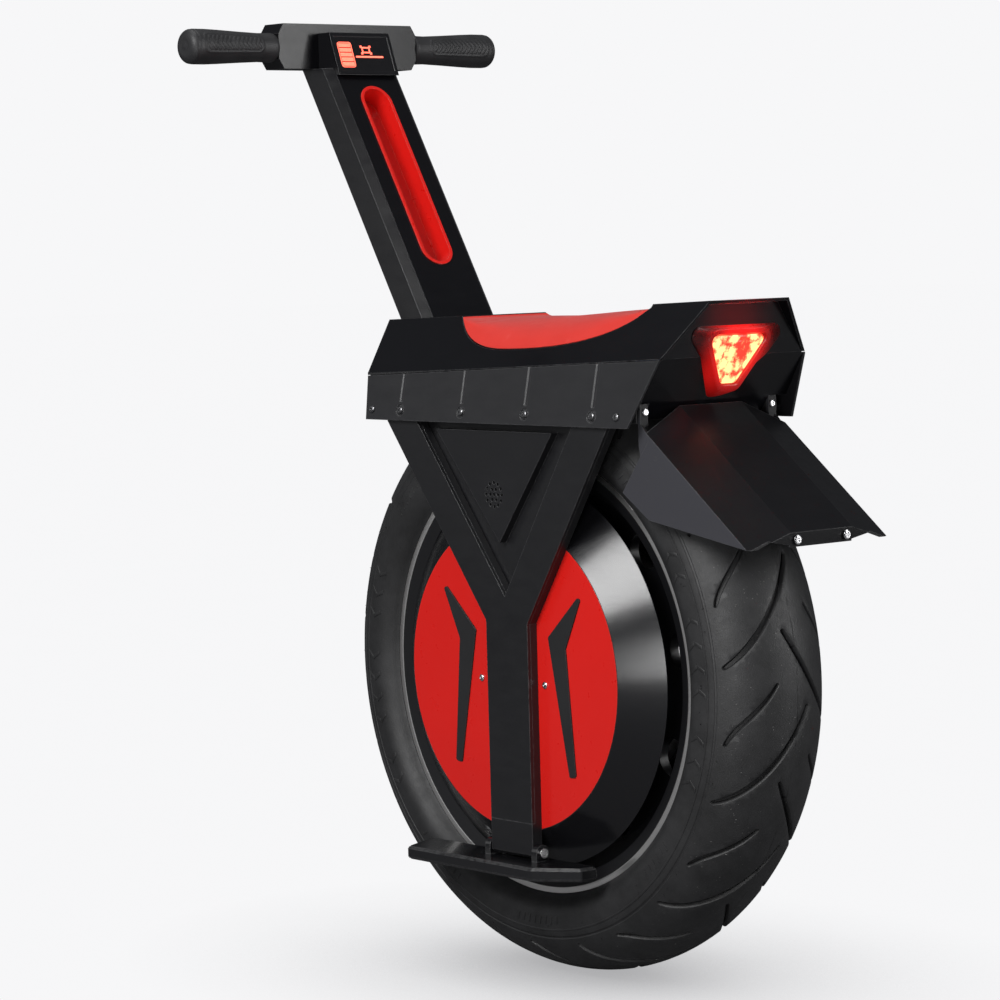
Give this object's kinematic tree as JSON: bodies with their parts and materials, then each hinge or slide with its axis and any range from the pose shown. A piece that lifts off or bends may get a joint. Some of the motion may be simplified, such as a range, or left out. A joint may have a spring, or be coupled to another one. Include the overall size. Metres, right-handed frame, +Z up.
{
  "type": "electric unicycle",
  "caption": "Electric unicycle: fat motorcycle tyre on a hub motor in a Y fork, saddle over the wheel, leaning handlebar stem and fold-up footrests.",
  "frame": {"origin": "centre of the wheel on the axle's line", "axes": "+X forward, +Y along the axle to the rider's left, +Z up"},
  "size_m": [0.7632, 0.43, 1.016],
  "materials": {
    "tyre_rubber": "worn rubber",
    "rim_alloy": "cast and machined",
    "valve_brass": "satin",
    "plain_steel": "turned",
    "magnet_nickel": "plated",
    "motor_paint": "satin",
    "screw_steel": "plated",
    "dark_screw": "blackened",
    "stator_iron": "raw",
    "copper_wire": "enamelled",
    "satin_black": "satin",
    "gloss_black": "gloss",
    "accent_red": "gloss",
    "insert_black": "satin",
    "speaker_cone": "matt",
    "frame_paint": "powder coat",
    "body_black": "semi-gloss",
    "panel_black": "satin",
    "seat_red": "soft satin",
    "tray_plastic": "moulded",
    "bezel_black": "satin",
    "lens_red": "clear red",
    "led_board": "matt",
    "lens_clear": "clear",
    "guard_black": "satin",
    "grip_rubber": "embossed",
    "lit_red": "lit",
    "battery_wrap": "shrink film",
    "pedal_black": "gloss"
  },
  "bodies": {
    "chassis": {"axle": "plain_steel", "axle_nuts": "screw_steel", "axle_washers": "screw_steel", "stator_core": "stator_iron", "stator_windings": "copper_wire", "fork_left": "satin_black", "fork_right": "satin_black", "fork_caps": "satin_black", "cover_mount_rings": "plain_steel", "wheel_cover_left": "gloss_black", "wheel_cover_right": "gloss_black", "accent_disc_left": "accent_red", "accent_disc_right": "accent_red", "disc_inserts": "insert_black", "cover_screws": "screw_steel", "speaker_panel_left": "satin_black", "speaker_panel_right": "satin_black", "speakers": "speaker_cone", "chassis_frame": "frame_paint", "fork_bolts": "screw_steel", "upper_shell": "body_black", "side_panel_left": "panel_black", "side_panel_right": "panel_black", "side_panel_screws": "dark_screw", "tail_panel": "body_black", "nose_panel": "body_black", "seat_pad": "seat_red", "seat_tray": "tray_plastic", "tail_light_bezel": "bezel_black", "tail_light_lens": "lens_red", "tail_light_board": "led_board", "headlight_lens": "lens_clear", "mudguard": "guard_black", "mudguard_brackets": "guard_black", "mudguard_screws": "screw_steel", "stem": "body_black", "stem_recess_liner": "accent_red", "handlebar_box": "body_black", "handlebar_tube": "plain_steel", "grip_left": "grip_rubber", "grip_right": "grip_rubber", "display_housing": "gloss_black", "display_lights": "lit_red", "battery_pack": "battery_wrap", "controller": "rim_alloy", "charge_port": "tray_plastic"},
    "wheel": {"tyre": "tyre_rubber", "rim": "rim_alloy", "tyre_valve": "valve_brass", "rotor_ring": "plain_steel", "rotor_magnets": "magnet_nickel", "motor_covers": "motor_paint", "motor_cover_screws": "screw_steel", "wheel_bearings": "plain_steel"},
    "footrest_left": {"pedal_left": "pedal_black", "pedal_pin_left": "screw_steel"},
    "footrest_right": {"pedal_right": "pedal_black", "pedal_pin_right": "screw_steel"},
    "button": {"power_button": "screw_steel"},
    "port_cap": {"charge_port_cap": "grip_rubber"}
  },
  "joints": [
    {"name": "wheel_spin", "type": "hinge", "parent": "chassis", "child": "wheel", "pos_m": [0, 0, 0], "axis": [0, 1, 0], "continuous": true},
    {"name": "left_footrest_fold", "type": "hinge", "parent": "chassis", "child": "footrest_left", "pos_m": [0, 0.104, -0.18], "axis": [1, 0, 0], "range_deg": [0, 90]},
    {"name": "right_footrest_fold", "type": "hinge", "parent": "chassis", "child": "footrest_right", "pos_m": [0, -0.104, -0.18], "axis": [-1, 0, 0], "range_deg": [0, 90]},
    {"name": "power_button_press", "type": "slide", "parent": "chassis", "child": "button", "axis": [0, 0.9792, -0.2027], "range_m": [0, 0.0018]},
    {"name": "charge_cap_open", "type": "hinge", "parent": "chassis", "child": "port_cap", "pos_m": [-0.1, -0.1064, 0.32079], "axis": [-1, 0, 0], "range_deg": [0, 130]}
  ]
}
